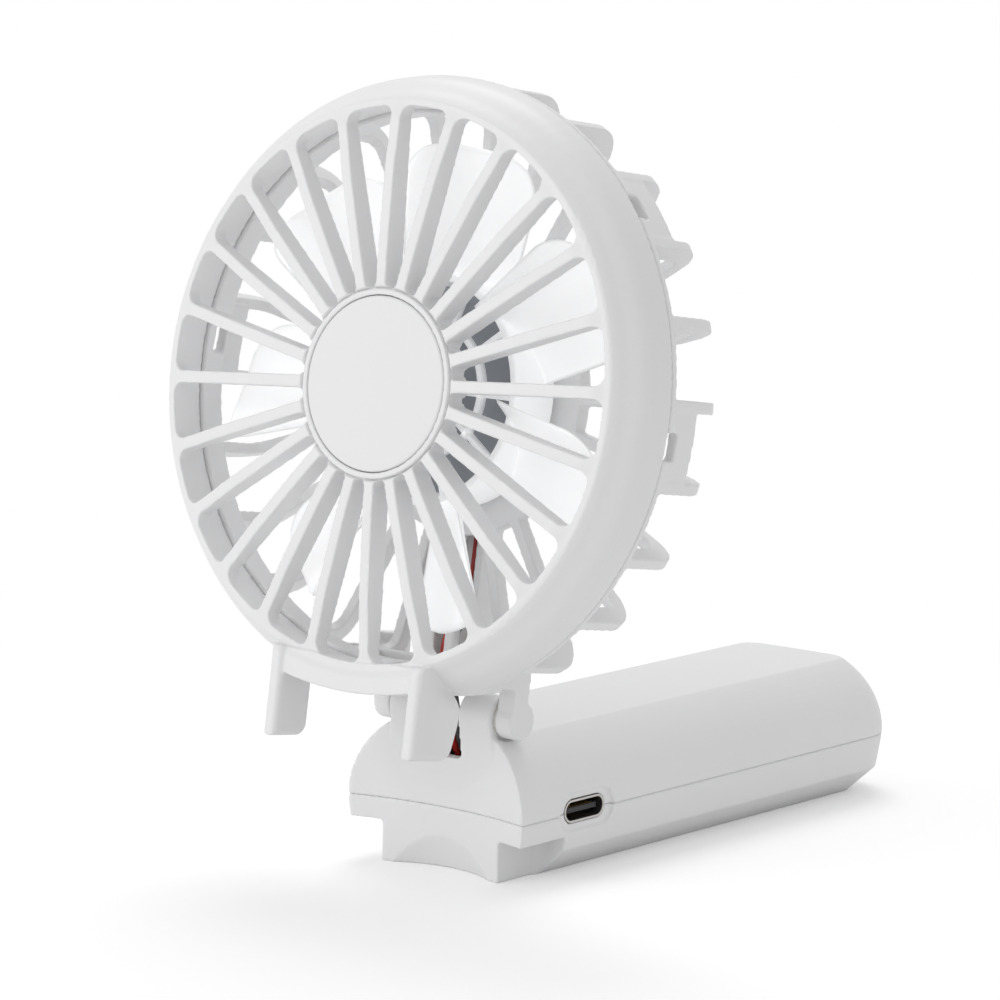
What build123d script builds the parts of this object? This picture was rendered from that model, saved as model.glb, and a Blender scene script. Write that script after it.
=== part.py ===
from build123d import *
from math import atan2, cos, degrees, hypot, radians, sin, sqrt, tan
import os

# Folding battery fan: a caged fan head on a hinge at the front end of a flat handle.
# Frame: millimetres, +Z up. The origin is the middle of the handle's underside, the handle
# runs along Y with its hinge end at -Y, and the fan blows towards -Y.

# ---- handle casing ----
handle_length = 94.5
handle_width = 32.0
handle_height = 20.4
parting_height = 9.1        # height of the seam between the two shells
underside_inset = 5.0       # flat underside inside the full width
flank_height = 4.0          # where the lower flank turns in to the underside
flank_tuck = 0.6            # how far the flank is inside the full width there
crease_inset = 6.6          # crease at the edge of the flat top, inside the full width
end_corner = 9.4            # corner radius of the rear end, seen from above
shell_wall = 1.6
front_dish = 2.4            # how far the front face is dished in at its middle
front_wall = 3.7            # front end of the hollow behind the front corners
flank_middle = 40.0         # degrees up the flank's arc, for its middle point
seam_clearance = 0.1

# ---- front corner recesses that take the legs ----
recess_length = 10.2
recess_ceiling = 5.9
recess_inset = 5.4          # how far the recesses reach in from the full width
scoop_depth = 1.9           # extra dish at the foot of the front face
scoop_height = 5.0
scoop_radius = 17.0

# ---- hinge ----
hinge_back = 4.0            # hinge axis behind the front corners
hinge_height = 22.87
neck_inset = 6.8            # side of the neck inside the full width
neck_radius = 3.2           # round top of the neck, about the hinge axis
neck_root = 11.4            # height where the neck's front slope ends inside the front face
lead_slot_half = 3.5
lead_slot_floor = 16.6
slot_corner = 1.0
knuckle_radius = 2.65
knuckle_width = 2.8
washer_gap = 0.5            # room between neck and knuckle
washer_thickness = 0.4
washer_radius = 2.4
knuckle_relief = 0.4        # running room round the knuckle in the casing
pin_radius = 1.2
pin_reach = 2.0             # pin length inside the knuckle
bush_radius = 1.9
bush_inset = 1.0            # bush end short of the lead slot
running_fit = 0.05
part_gap = 0.1

# ---- port, button and light at the seam ----
port_width = 8.94
port_height = 3.26
port_length = 7.3
port_wall = 0.3
port_back = 14.8            # port centre behind the front corners
port_lift = 0.2             # port centre above the seam
port_recess_width = 12.2
port_recess_height = 5.6
port_recess_depth = 0.7
tongue_width = 6.7
tongue_thickness = 0.7
tongue_length = 5.2
button_back = 25.0
button_length = 10.0
button_height = 4.4
button_proud = 0.7
button_travel = 0.4
button_edge = 0.3
button_seat = 0.5           # flange inside the casing's wall
button_flange = 0.9
button_flange_thickness = 0.6
button_clearance = 0.15
light_back = 34.0
light_radius = 0.9
light_length = 3.4

# ---- inside the handle ----
board_side_room = 4.0       # from the board's edge to the full width
board_length = 25.0
board_thickness = 1.0
board_front = 12.8          # front edge of the board behind the front corners
board_screw_radius = 0.8
board_screw_inset = 3.0
board_screw_length = 6.0
switch_width = 6.0
switch_depth = 3.4
switch_height = 3.4
plunger_radius = 0.85
cell_side_room = 6.0        # from the cell's side to the full width
cell_gap = 1.0              # between the cell and the rear screws' bosses
cell_thickness = 9.6
cell_corner = 2.0
cell_front = 40.0
shell_screw_radius = 1.0
shell_screw_length = 12.0
boss_ratio = 2.0            # boss radius over thread radius
screw_head_ratio = 1.85     # head radius over thread radius
screw_head_height = 1.2
screw_socket = 0.6          # depth of the driver slot
slot_half = 0.3             # half width of the driver slot
front_screw_inset = 9.4     # front screws inside the full width
front_screw_back = 7.6
rear_screw_side = 9.0       # rear screws inside the full width
rear_screw_inset = 7.5
screw_head_sink = 1.6

# ---- head: sizes are radii from the fan axis and depths behind the cap face ----
head_lean = 8.4             # degrees the head leans back
hinge_clearance = 1.6       # hinge axis below the rim's lowest point
hinge_depth = 24.75
guard_radius = 43.1
guard_depth = 9.9
face_depth = 1.0            # front of the spokes and of the rim's crest
crest_inset = 4.4           # crest of the rim inside its full radius
crest_round = 1.0
shoulder_inset = 0.7        # shoulder of the rim inside its full radius
shoulder_depth = 5.6
shoulder_round = 6.0
side_depth = 9.5            # depth where the shoulder reaches the full radius
rim_width = 5.5             # slots end inside the rim's full radius
slot_inner_radius = 13.2
bezel_radius = 13.0
spoke_count = 24
spoke_width = 1.7
spoke_depth = 2.6
spoke_turn = 3.6            # degrees from level to the first spoke
slot_outer_corner = 1.5
slot_inner_corner = 0.8
rim_lip = 1.7               # wall of the rim's rear lip
cap_radius = 12.05
cap_thickness = 1.2
cap_crown = 0.25
cap_groove = 0.12
hub_plate_thickness = 2.0
skirt_start = 6.9
skirt_end = 11.0
lip_clearance = 0.2

# ---- chin and legs ----
chin_inset = 2.4            # chin's sides inside the handle's full width
chin_clearance = 2.4        # lowest line of the chin above the hinge axis
chin_bow_radius = 52.1      # matches the dished front face
chin_front = 0.6
chin_rear = 18.1
chin_rise = 7.7             # top of the chin's block above the hinge axis
chin_wall = 1.6
leg_room = 0.7              # between a leg and the block that it straddles
leg_reach = 5.3             # foot of a leg below the hinge axis
leg_front = 0.1
leg_rear = 7.2
leg_corner = 1.9
leg_edge = 0.9

# ---- rear guard ----
rib_width = 1.6
rib_turn = 2.3              # degrees from level to the first rib
rib_inset = 0.1             # ribs inside the rim's full radius
chin_rib_inset = 2.1        # the same for the ribs that end over the chin
rib_radial = 3.1
rib_axial = 2.3
rib_rear = 22.5
rib_outer_corner = 4.5
rib_inner_corner = 1.8
hub_disc_radius = 20.0
hub_disc_front = 20.2
plate_rear = 16.2
plate_wall = 1.6
window_front = 8.5
window_rear = 12.4
window_width = 3.8
# gaps between ribs that are closed by a plate, from the first rib, and how far inside the rim it lies
plates = ((2, 0.2), (11, 2.2), (23, 0.2))
motor_bay_radius = 15.0
motor_bay_wall = 1.5
motor_bay_rear = 26.8
bay_notch = 2.0             # how far the mast's groove reaches through the bay's wall
mast_half = 4.0
mast_wall = 1.1
mast_front = 22.3
mast_clearance = 3.7        # foot of the mast above the hinge axis
groove_front = 22.0
lead_hole_half = 1.6
lead_hole_foot = 12.2       # lowest line of the hole in the hub disc, below the fan axis
lead_hole_top = 8.4
web_clearance = 4.5         # lowest line of the arm's web above the hinge axis
arm_front = 22.4
arm_rear = 25.7
arm_length = 9.7            # from the hinge axis up

# ---- motor ----
boss_radius = 4.1
boss_front = 14.0
bearing_radius = 3.0
shaft_radius = 1.0
stator_radius = 12.2
stator_front = 14.3
stator_rear = 18.6
stator_poles = 9
stator_yoke = 6.6
pole_width = 2.6
pole_shoe = 1.3
pole_gap = 1.2
motor_board_radius = 11.8
motor_board_thickness = 0.8
motor_screw_count = 3
motor_screw_circle = 5.4
motor_screw_turn = 90.0     # degrees from level to the first screw
motor_screw_radius = 0.6
motor_screw_length = 5.7
magnet_thickness = 1.05
air_gap = 0.35
can_wall = 0.7
can_front = 12.6
can_rear = 18.9

# ---- impeller ----
blade_count = 7
blade_turn = 26.0           # degrees from level to the first blade
blade_tip_room = 3.0        # blade tips inside the slots' outer ends
blade_thickness = 1.0
blade_root_chord = 15.0
blade_tip_chord = 19.0
blade_root_pitch = 42.0
blade_tip_pitch = 27.0
blade_mid_depth = 12.6
blade_camber = 0.1          # how far the blade's arc bulges to the rear, over its chord
blade_corner = 6.0
hub_rim_radius = 16.2
hub_rim_wall = 1.1
hub_rim_front = 10.6
hub_rim_rear = 19.2
hub_ring_radius = 9.6
hub_ring_wall = 0.7
hub_rib_count = 10
hub_rib_width = 0.7
hub_rib_front = 11.2
hub_flange = 1.4
hub_boss_radius = 3.2

# ---- leads ----
lead_diameter = 1.1
lead_spacing = 1.3
arc_share = 0.45            # share of the shorter run that an arc takes up
# how far behind the front corners, and how high
lower_lead_points = [(4.2, 22.0), (5.1, 17.6), (8.6, 13.2), (13.6, 11.2), (17.0, 8.22)]
# how far above the hinge axis, and how deep
mast_lead_points = [(0.85, 24.45), (5.2, 22.9), (11.2, 22.9)]
# how far below the fan axis, and how deep
bay_lead_points = [(26.5, 24.5), (19.0, 24.7), (13.6, 24.0), (10.7, 22.8), (9.6, 20.75)]

# ---- places worked out from the sizes above ----
front_y = -handle_length / 2
rear_y = handle_length / 2
half_width = handle_width / 2
underside_half = half_width - underside_inset
crease_half = half_width - crease_inset
block_half = half_width - recess_inset
neck_half = half_width - neck_inset
board_width = handle_width - 2 * board_side_room
cell_width = handle_width - 2 * cell_side_room
cell_length = handle_length - cell_front - rear_screw_inset - boss_ratio * shell_screw_radius - cell_gap
hinge_y = front_y + hinge_back
hinge_drop = guard_radius + hinge_clearance
slot_outer_radius = guard_radius - rim_width
blade_tip_radius = slot_outer_radius - blade_tip_room
chin_half = half_width - chin_inset
chin_drop = hinge_drop - chin_clearance
chin_top = hinge_drop - chin_rise
leg_inner = block_half + leg_room
leg_drop = hinge_drop + leg_reach
mast_end = hinge_drop - mast_clearance
web_foot = hinge_drop - web_clearance
arm_top = hinge_drop - arm_length
lean = radians(head_lean)
head_up = Vector(0, sin(lean), cos(lean))
head_ahead = Vector(0, -cos(lean), sin(lean))
hinge_point = Vector(0, hinge_y, hinge_height)
cap_centre = hinge_point + head_up * hinge_drop + head_ahead * hinge_depth
head_plane = Plane(origin=cap_centre, x_dir=(1, 0, 0), z_dir=head_ahead)
port_z = parting_height + port_lift
floor_z = shell_wall
board_top = port_z - port_height / 2
board_bottom = board_top - board_thickness
port_y = front_y + port_back
recess_x = half_width - port_recess_depth
button_y = front_y + button_back
flange_x = shell_wall + button_seat - half_width
flange_rear = flange_x + button_flange_thickness
bush_inner = lead_slot_half + bush_inset
skirt_front = skirt_start + part_gap
motor_bay_inner = motor_bay_radius - motor_bay_wall
can_radius = stator_radius + air_gap + magnet_thickness + can_wall
knuckle_inner = neck_half + washer_gap
knuckle_outer = knuckle_inner + knuckle_width


def both_sides(shape):
    """The shape and its mirror image across the middle plane."""
    return [shape, mirror(shape, about=Plane.YZ)]


def upright_cylinder(radius, x, y, low, high):
    """Cylinder along Z between two heights."""
    return Pos(x, y, (low + high) / 2) * Cylinder(radius, high - low)


def block(x0, x1, y0, y1, z0, z1):
    """Box between two corners."""
    return Pos((x0 + x1) / 2, (y0 + y1) / 2, (z0 + z1) / 2) * Box(x1 - x0, y1 - y0, z1 - z0)


def cross_cylinder(radius, x0, x1, y, z):
    """Cylinder along X between two positions."""
    return Pos((x0 + x1) / 2, y, z) * Rot(0, 90, 0) * Cylinder(radius, abs(x1 - x0))


# ---------------------------------------------------------------- handle

def casing_section(inset=0.0):
    """Right half of the handle's cross-section, set in by a wall."""
    # the upper flank is an arc that stands upright at the seam and meets the flat top in a crease
    rise = handle_height - parting_height
    run = half_width - crease_half
    flank_radius = (rise ** 2 + run ** 2) / (2 * run)
    centre_x = half_width - flank_radius
    radius = flank_radius - inset
    top = handle_height - inset
    crease_x = centre_x + sqrt(radius ** 2 - (top - parting_height) ** 2)
    mid_angle = radians(flank_middle)
    low_run = half_width - flank_tuck - underside_half
    slope = hypot(low_run, flank_height)
    low_x = underside_half + inset * (low_run / flank_height) - inset * slope / flank_height
    turn_x = half_width - flank_tuck - inset
    with BuildSketch(Plane.XZ) as sketch:
        with BuildLine():
            Polyline((0, top), (0, inset), (low_x, inset), (turn_x, flank_height),
                     (half_width - inset, parting_height))
            ThreePointArc((half_width - inset, parting_height),
                          (centre_x + radius * cos(mid_angle),
                           parting_height + radius * sin(mid_angle)),
                          (crease_x, top))
            Line((crease_x, top), (0, top))
        make_face()
    return sketch.sketch


def casing_solid(inset=0.0, start=front_y):
    """The handle's outer form, or the hollow inside it: straight sides, rounded rear corners."""
    half = casing_section(inset)
    corner_x = half_width - end_corner
    corner_y = rear_y - end_corner
    run = extrude(half, -(corner_y - start))
    run = Pos(0, start, 0) * run
    run = run + mirror(run, about=Plane.YZ)
    edge = half & Pos(corner_x + half_width, 0, 0) * Plane.XZ.location * Rectangle(
        handle_width, 2 * handle_width)
    edge = Pos(-corner_x, 0, 0) * edge
    corner = revolve(edge, Axis.Z, 90)
    corner = Pos(corner_x, corner_y, 0) * corner
    ending = extrude(Rot(0, 0, 90) * edge, corner_x, dir=(1, 0, 0))
    ending = Pos(0, corner_y, 0) * ending
    rear = corner + ending
    return run + rear + mirror(rear, about=Plane.YZ)


def face_dish():
    """What the dished front face takes away from the casing."""
    radius = (half_width ** 2 + front_dish ** 2) / (2 * front_dish)
    return upright_cylinder(radius, 0, front_y + front_dish - radius, -handle_height, 2 * handle_height)


def foot_scoop():
    """The deeper, leaning scoop at the foot of the front face, between the recesses."""
    lean_angle = atan2(scoop_depth, scoop_height)
    reach = scoop_radius / cos(lean_angle)
    place = Pos(0, front_y + front_dish + scoop_depth - reach, 0) * Rot(degrees(lean_angle), 0, 0)
    scoop = place * Cylinder(scoop_radius, 2 * handle_height)
    return scoop & block(-block_half, block_half, front_y - handle_width, rear_y,
                         -handle_height, scoop_height)


def leg_recess():
    """Right corner recess that takes a leg, with a rounded back corner."""
    back = front_y + recess_length
    cut = block(block_half, handle_width, front_y - handle_width, back, -handle_height, recess_ceiling)
    inner_back = cut.edges().filter_by(Axis.Z).group_by(Axis.Y)[-1].sort_by(Axis.X)[0]
    return fillet(inner_back, leg_corner)


def port_opening():
    """Shallow recess round the port, and the hole behind it."""
    wide = extrude(Plane.YZ * SlotOverall(port_recess_width, port_recess_height), shell_wall)
    hole = SlotOverall(port_width + 2 * part_gap, port_height + 2 * part_gap)
    deep = extrude(Plane.YZ * hole, port_length)
    return (Pos(recess_x, port_y, port_z) * wide
            + Pos(recess_x - port_length, port_y, port_z) * deep)


def button_opening():
    """Hole in the left flank for the button cap."""
    hole = SlotOverall(button_length + 2 * button_clearance, button_height + 2 * button_clearance)
    return Pos(-half_width - shell_wall, button_y, parting_height) * extrude(
        Plane.YZ * hole, 2 * shell_wall + button_seat)


def light_pipe():
    """Light pipe through the left flank, and the hole that it fills."""
    return cross_cylinder(light_radius, -half_width, -half_width + light_length,
                          front_y + light_back, parting_height)


def shell_screw_places():
    """Where the shell screws stand."""
    front = front_y + front_screw_back
    rear = rear_y - rear_screw_inset
    front_x = half_width - front_screw_inset
    rear_x = half_width - rear_screw_side
    return [(-front_x, front), (front_x, front), (-rear_x, rear), (rear_x, rear)]


def shell_screw_holes():
    """Room for the shell screws and their sunk heads."""
    holes = []
    for x, y in shell_screw_places():
        holes.append(upright_cylinder(shell_screw_radius + running_fit, x, y, 0,
                                      screw_head_sink + shell_screw_length + part_gap))
        holes.append(upright_cylinder(shell_screw_radius * screw_head_ratio + part_gap, x, y,
                                      -shell_wall, screw_head_sink))
    return holes


def neck():
    """The raised neck: a round top about the hinge axis on a trunk that slopes into the front face."""
    rear = hinge_y + neck_radius
    outline = Polyline((hinge_y - neck_radius, hinge_height), (front_y + front_dish, neck_root),
                       (rear, neck_root), (rear, hinge_height), close=True)
    trunk = extrude(Plane.YZ * make_face(outline), neck_half, both=True)
    return trunk + cross_cylinder(neck_radius, -neck_half, neck_half, hinge_y, hinge_height)


def lead_slot():
    """Slot between the neck's two towers, open to the front, the top and the rear."""
    cut = block(-lead_slot_half, lead_slot_half, front_y - hinge_back, hinge_y + neck_radius + part_gap,
                lead_slot_floor, 2 * handle_height)
    return fillet(cut.edges().filter_by(Axis.Y).group_by(Axis.Z)[0], slot_corner)


def hinge_room():
    """Running room for the knuckles, and the seats of the bushes."""
    room = cross_cylinder(knuckle_radius + knuckle_relief, neck_half, half_width, hinge_y, hinge_height)
    seat = cross_cylinder(bush_radius, bush_inner, neck_half, hinge_y, hinge_height)
    return both_sides(room + seat)


def upper_shell():
    """Top half of the casing, with the neck, the lead slot and the screw bosses."""
    shell = casing_solid() & block(-handle_width, handle_width, front_y, rear_y,
                                   parting_height, handle_height)
    shell -= face_dish()
    shell += neck()
    shell -= casing_solid(shell_wall, front_y + front_wall)
    shell += [upright_cylinder(boss_ratio * shell_screw_radius, x, y, parting_height,
                               handle_height - shell_wall) for x, y in shell_screw_places()]
    return shell - [lead_slot(), port_opening(), button_opening(), light_pipe(),
                    *hinge_room(), *shell_screw_holes()]


def lower_shell():
    """Bottom half of the casing: solid at the front, hollow behind, with the board's posts."""
    rim = parting_height - seam_clearance
    shell = casing_solid() & block(-handle_width, handle_width, front_y, rear_y, 0, rim)
    shell -= casing_solid(shell_wall, front_y + recess_length + shell_wall)
    shell += [upright_cylinder(boss_ratio * shell_screw_radius, x, y, floor_z, rim)
              for x, y in shell_screw_places()]
    shell += [upright_cylinder(boss_ratio * board_screw_radius, x, y, floor_z, board_bottom)
              for x, y in board_post_places()]
    post_holes = [upright_cylinder(board_screw_radius + running_fit, x, y,
                                   board_top - board_screw_length - part_gap, board_bottom)
                  for x, y in board_post_places()]
    return shell - [face_dish(), foot_scoop(), *both_sides(leg_recess()), port_opening(),
                    button_opening(), light_pipe(), *shell_screw_holes(), *post_holes]


def screw(radius, length):
    """Self-tapping screw along +Z with its head's seat at the origin and a slot in the head."""
    head_radius = radius * screw_head_ratio
    head = upright_cylinder(head_radius, 0, 0, -screw_head_height, 0)
    head -= block(-head_radius, head_radius, -slot_half, slot_half, -screw_head_height,
                  screw_socket - screw_head_height)
    return head + upright_cylinder(radius, 0, 0, 0, length)


def shell_screws():
    """The four screws that hold the shells together, driven from below."""
    one = screw(shell_screw_radius, shell_screw_length)
    return [Pos(x, y, screw_head_sink) * one for x, y in shell_screw_places()]


def board_post_places():
    """Where the board stands on its posts."""
    across = board_width / 2 - board_screw_inset
    back = front_y + board_front + board_length - board_screw_inset
    return [(-across, back), (across, back)]


def control_board():
    """Printed board with its screw holes."""
    y0 = front_y + board_front
    board = block(-board_width / 2, board_width / 2, y0, y0 + board_length, board_bottom, board_top)
    for x, y in board_post_places():
        board -= upright_cylinder(board_screw_radius + running_fit, x, y, board_bottom, board_top)
    return board


def board_screws():
    """Two screws that hold the board on its posts."""
    one = mirror(screw(board_screw_radius, board_screw_length), about=Plane.XY)
    return [Pos(x, y, board_top) * one for x, y in board_post_places()]


def usb_c_shell():
    """Metal shell of the charging port, open at its mouth."""
    outer = SlotOverall(port_width, port_height)
    inner = SlotOverall(port_width - 2 * port_wall, port_height - 2 * port_wall)
    tube = extrude(Plane.YZ * (outer - inner), port_length)
    back = extrude(Plane.YZ * outer, port_wall)
    return Pos(recess_x - port_length, port_y, port_z) * (tube + back)


def usb_c_tongue():
    """Insulating tongue and its base inside the port."""
    inner = SlotOverall(port_width - 2 * port_wall, port_height - 2 * port_wall)
    base = extrude(Plane.YZ * inner, port_length - tongue_length - 2 * port_wall)
    tongue = block(0, port_length - 3 * port_wall, -tongue_width / 2, tongue_width / 2,
                   -tongue_thickness / 2, tongue_thickness / 2)
    return Pos(recess_x - port_length + port_wall, port_y, port_z) * (base + tongue)


def button_switch():
    """Side-acting switch on the board."""
    x0 = -board_width / 2
    axis_z = board_top + switch_height / 2
    body = block(x0, x0 + switch_depth, button_y - switch_width / 2, button_y + switch_width / 2,
                 board_top, board_top + switch_height)
    return body + cross_cylinder(plunger_radius, flange_rear + button_travel + part_gap, x0,
                                 button_y, axis_z)


def power_button():
    """Button cap with a flange inside the casing that keeps it in and presses the switch."""
    face_x = -half_width - button_proud
    cap = Pos(face_x, button_y, parting_height) * extrude(
        Plane.YZ * SlotOverall(button_length, button_height), flange_x - face_x)
    cap = fillet(cap.faces().sort_by(Axis.X)[0].edges(), button_edge)
    flange = Pos(flange_x, button_y, parting_height) * extrude(
        Plane.YZ * SlotOverall(button_length + 2 * button_flange, button_height + 2 * button_flange),
        button_flange_thickness)
    return cap + flange


def battery_cell():
    """Flat pouch cell on the casing's floor."""
    y0 = front_y + cell_front
    cell = block(-cell_width / 2, cell_width / 2, y0, y0 + cell_length, floor_z,
                 floor_z + cell_thickness)
    return fillet(cell.edges().filter_by(Axis.Y), cell_corner)


# ---------------------------------------------------------------- hinge pieces

def hinge_pins():
    """Stub pins, fixed in the knuckles and turning in the bushes."""
    return both_sides(cross_cylinder(pin_radius, bush_inner, knuckle_inner + pin_reach,
                                     hinge_y, hinge_height))


def sleeve_on_pin(radius, x0, x1):
    """Sleeve that the pin turns in."""
    return (cross_cylinder(radius, x0, x1, hinge_y, hinge_height)
            - cross_cylinder(pin_radius + running_fit, x0, x1, hinge_y, hinge_height))


def hinge_bushes():
    """Bushes in the two towers of the neck."""
    return both_sides(sleeve_on_pin(bush_radius, bush_inner, neck_half))


def friction_washers():
    """Washers between the neck and the knuckles."""
    return both_sides(sleeve_on_pin(washer_radius, neck_half, neck_half + washer_thickness))


# ---------------------------------------------------------------- head, in its own frame
# X to the right, Y up, +Z ahead of the cap face, so a depth d behind it is at z = -d

def ring(outer, inner, front, rear):
    """Flat ring about the fan axis between two depths."""
    tube = upright_cylinder(outer, 0, 0, -rear, -front)
    return tube - upright_cylinder(inner, 0, 0, -rear, -front) if inner else tube


def at(angle, shape):
    """The shape turned about the fan axis."""
    return Rot(0, 0, angle) * shape


def around(count, start=0.0):
    """Evenly spaced angles round the fan axis, in degrees."""
    return [start + index * 360 / count for index in range(count)]


def guard_rim():
    """Rim of the front guard, with the pocket for the rear guard's skirt."""
    lip = guard_radius - rim_lip
    crest = guard_radius - crest_inset
    shoulder = guard_radius - shoulder_inset
    face = make_face(Polyline((slot_outer_radius, -face_depth), (slot_outer_radius, -skirt_start),
                              (lip, -skirt_start), (lip, -guard_depth), (guard_radius, -guard_depth),
                              (guard_radius, -side_depth), (shoulder, -shoulder_depth),
                              (crest, -face_depth), close=True))
    face = fillet(corner_near(face, shoulder, -shoulder_depth), shoulder_round)
    face = fillet(corner_near(face, crest, -face_depth), crest_round)
    return revolve(Plane.XZ * face, Axis.Z)


def spoke_plate():
    """Flat disc that the slots are cut in, with the bezel and the seat for the cap."""
    seat = cap_radius + cap_groove
    outer = slot_outer_radius + part_gap
    under = -face_depth - spoke_depth
    rear = -cap_thickness - hub_plate_thickness
    profile = Polyline((0, -cap_thickness), (seat, -cap_thickness), (seat, 0), (bezel_radius, 0),
                       (bezel_radius, -face_depth), (outer, -face_depth), (outer, under),
                       (slot_inner_radius, under), (slot_inner_radius, rear), (0, rear), close=True)
    return revolve(Plane.XZ * make_face(profile), Axis.Z)


def slot_face():
    """One slot between two spokes, with rounded corners."""
    pitch = 360 / spoke_count
    gap = Circle(slot_outer_radius) - Circle(slot_inner_radius)
    spoke = Pos(guard_radius / 2, 0) * Rectangle(guard_radius, spoke_width)
    for side in (-1, 1):
        gap -= Rot(0, 0, side * pitch / 2) * spoke
    wedge = Sketch() + gap.faces().sort_by(Axis.X)[-1]
    wedge = fillet(wedge.vertices().sort_by(from_fan_axis)[-2:], slot_outer_corner)
    return fillet(wedge.vertices().sort_by(from_fan_axis)[:2], slot_inner_corner)


def from_fan_axis(vertex):
    """Distance of a vertex from the fan axis."""
    return hypot(vertex.X, vertex.Y)


def chin_outline(drop=chin_drop, half=chin_half):
    """Outline of the chin seen from the front: straight sides and a bowed foot."""
    side_drop = drop - chin_bow_radius + sqrt(chin_bow_radius ** 2 - half ** 2)
    with BuildSketch() as sketch:
        with BuildLine():
            Polyline((-half, -side_drop), (-half, -chin_top), (half, -chin_top), (half, -side_drop))
            ThreePointArc((half, -side_drop), (0, -drop), (-half, -side_drop))
        make_face()
    return sketch.sketch


def chin_slice(front, rear, **outline):
    """The chin's outline as a solid between two depths."""
    return Pos(0, 0, -rear) * extrude(chin_outline(**outline), rear - front)


def below_chin(front, rear):
    """What the chin's bowed foot cuts off a ring."""
    slab = block(-chin_half, chin_half, -leg_drop, -chin_top, -rear, -front)
    return slab - chin_slice(front, rear)


def leg():
    """Right leg under the chin, rounded at its edges and its rear foot."""
    shape = block(leg_inner, chin_half, -leg_drop, -chin_top, -leg_rear, -leg_front)
    foot = shape.edges().filter_by(Axis.X).group_by(Axis.Y)[0].sort_by(Axis.Z)[0]
    shape = fillet(foot, leg_corner)
    return fillet(shape.edges().filter_by(Axis.Y), leg_edge)


def front_guard():
    """Front guard: rim, spokes, cap seat, chin front and legs."""
    slot = Pos(0, 0, -guard_depth) * extrude(slot_face(), 2 * guard_depth)
    slot_turns = around(spoke_count, spoke_turn + 180 / spoke_count)
    plate = spoke_plate() - [at(turn, slot) for turn in slot_turns]
    bore = ring(slot_outer_radius, 0, 0, guard_depth)
    bore += ring(guard_radius - rim_lip, 0, skirt_start, guard_depth)
    rim = guard_rim() - below_chin(0, guard_depth)
    rim += chin_slice(chin_front, skirt_start) - bore
    rim += [one - bore for one in both_sides(leg())]
    return rim + plate


def front_cap():
    """Smooth disc in the front guard, slightly crowned."""
    crown_radius = (cap_radius ** 2 + cap_crown ** 2) / (2 * cap_crown)
    disc = ring(cap_radius, 0, -cap_crown, cap_thickness)
    ball = Pos(0, 0, cap_crown - crown_radius) * Sphere(crown_radius)
    return disc & ball


def rib(turn):
    """One bent rib of the rear guard; those over the chin stay clear of the neck."""
    over_chin = sin(radians(turn)) < 0 and abs(guard_radius * cos(radians(turn))) < chin_half
    outer = guard_radius - (chin_rib_inset if over_chin else rib_inset)
    inner = outer - rib_radial
    root = hub_disc_radius - rib_width
    start = -skirt_end + part_gap
    bend = -rib_rear + rib_axial
    face = make_face(Polyline((outer, start), (outer, -rib_rear), (root, -rib_rear),
                              (root, bend), (inner, bend), (inner, start), close=True))
    face = fillet(corner_near(face, outer, -rib_rear), rib_outer_corner)
    face = fillet(corner_near(face, inner, bend), rib_inner_corner)
    return at(turn, extrude(Plane.XZ * face, rib_width / 2, both=True))


def corner_near(face, x, y):
    """The corner of a flat face that is nearest a point."""
    return face.vertices().sort_by(lambda vertex: hypot(vertex.X - x, vertex.Y - y))[0]


def snap_plate(inset):
    """Plate between the rib at 0 degrees and the next one, a little inside the rim."""
    pitch = 360 / spoke_count
    outer = guard_radius - inset
    sector = ring(outer, outer - plate_wall, guard_depth + part_gap, plate_rear)
    half = pitch / 2
    side = at(-half, block(0, guard_radius, 0, guard_radius, -plate_rear, 0))
    other = at(half, block(0, guard_radius, -guard_radius, 0, -plate_rear, 0))
    plate = sector & side & other
    return at(half, plate)


def snap_window():
    """Window through a snap plate and the skirt."""
    cut = block(slot_outer_radius - part_gap, guard_radius + part_gap, -window_width / 2,
                window_width / 2, -window_rear, -window_front)
    return at(180 / spoke_count, cut)


def chin_box():
    """Rear half of the chin: bowed foot, side walls and back plate."""
    front = skirt_end - part_gap
    hollow = chin_slice(front, chin_rear - chin_wall, drop=chin_drop - chin_wall,
                        half=chin_half - chin_wall)
    return chin_slice(front, chin_rear) - hollow


def mast():
    """Channel from the motor bay down to the hinge."""
    return block(-mast_half, mast_half, -mast_end, -motor_bay_inner, -motor_bay_rear, -mast_front)


def mast_groove():
    """What opens the mast to the front and to the motor bay."""
    inner = mast_half - mast_wall
    return block(-inner, inner, -mast_end, -motor_bay_inner + bay_notch, -motor_bay_rear + mast_wall,
                 -groove_front)


def lead_hole():
    """Hole in the hub disc that lets the leads through to the board."""
    return block(-lead_hole_half, lead_hole_half, -lead_hole_foot, -lead_hole_top, -rib_rear,
                 -hub_disc_front)


def arm():
    """Right arm from the chin's back plate to its knuckle."""
    upright = block(knuckle_inner, knuckle_outer, -hinge_drop, -arm_top, -arm_rear, -arm_front)
    web = block(knuckle_inner, knuckle_outer, -web_foot, -arm_top, -arm_rear, -chin_rear)
    knuckle = cross_cylinder(knuckle_radius, knuckle_inner, knuckle_outer, -hinge_drop, -hinge_depth)
    pin = cross_cylinder(pin_radius, knuckle_inner, knuckle_inner + pin_reach, -hinge_drop, -hinge_depth)
    return upright + web + knuckle - pin


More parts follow.
